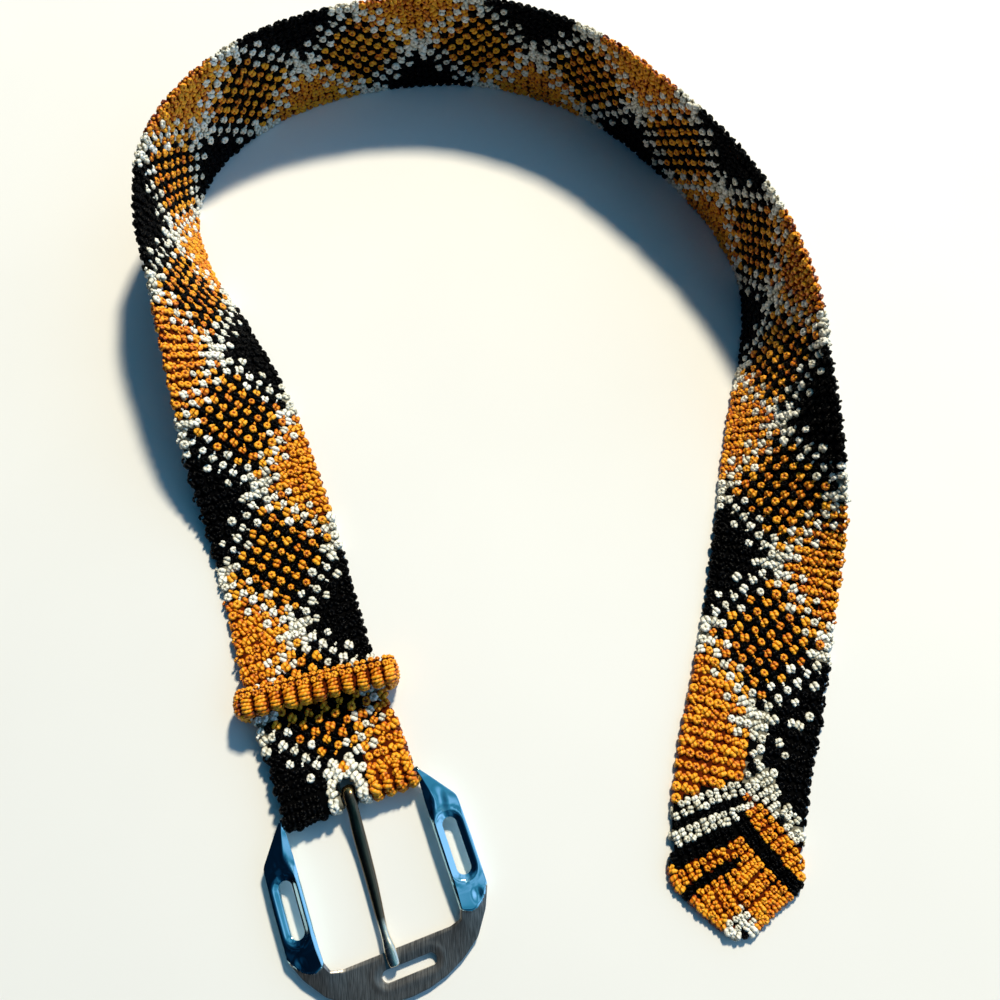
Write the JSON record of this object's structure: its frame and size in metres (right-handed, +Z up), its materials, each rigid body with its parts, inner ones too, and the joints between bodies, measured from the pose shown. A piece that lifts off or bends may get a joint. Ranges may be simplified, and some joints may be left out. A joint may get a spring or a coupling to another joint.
{
  "type": "macrame belt",
  "caption": "Knotted cord belt with a pointed tip, a keeper loop and a flat pierced pin buckle, laid down in an open loop with its far side standing on edge.",
  "frame": {"origin": "on the surface that the belt lies on, under the middle of its box", "axes": "+Y from the buckle and tip towards the far side of the loop, its longest extent; +X from the buckle's side to the tip's side; +Z up, its shortest extent"},
  "size_m": [0.2332, 0.34, 0.0421],
  "materials": {
    "knotted_cord": "knotted waxed cord in black, ochre and cream",
    "ochre_cord": "knotted waxed cord in ochre",
    "polished_metal": "polished side plates and a brushed front bar",
    "prong_steel": "bright drawn wire, worn to brass at its eye"
  },
  "bodies": {
    "belt": {"strap": "knotted_cord", "keeper": "ochre_cord", "buckle_frame": "polished_metal"},
    "prong": {"prong": "prong_steel"}
  },
  "joints": [
    {"name": "prong_hinge", "type": "hinge", "parent": "belt", "child": "prong", "pos_m": [-0.04784, -0.11174, 0.004], "axis": [-0.9563, -0.2924, 0], "range_deg": [0, 100]}
  ]
}
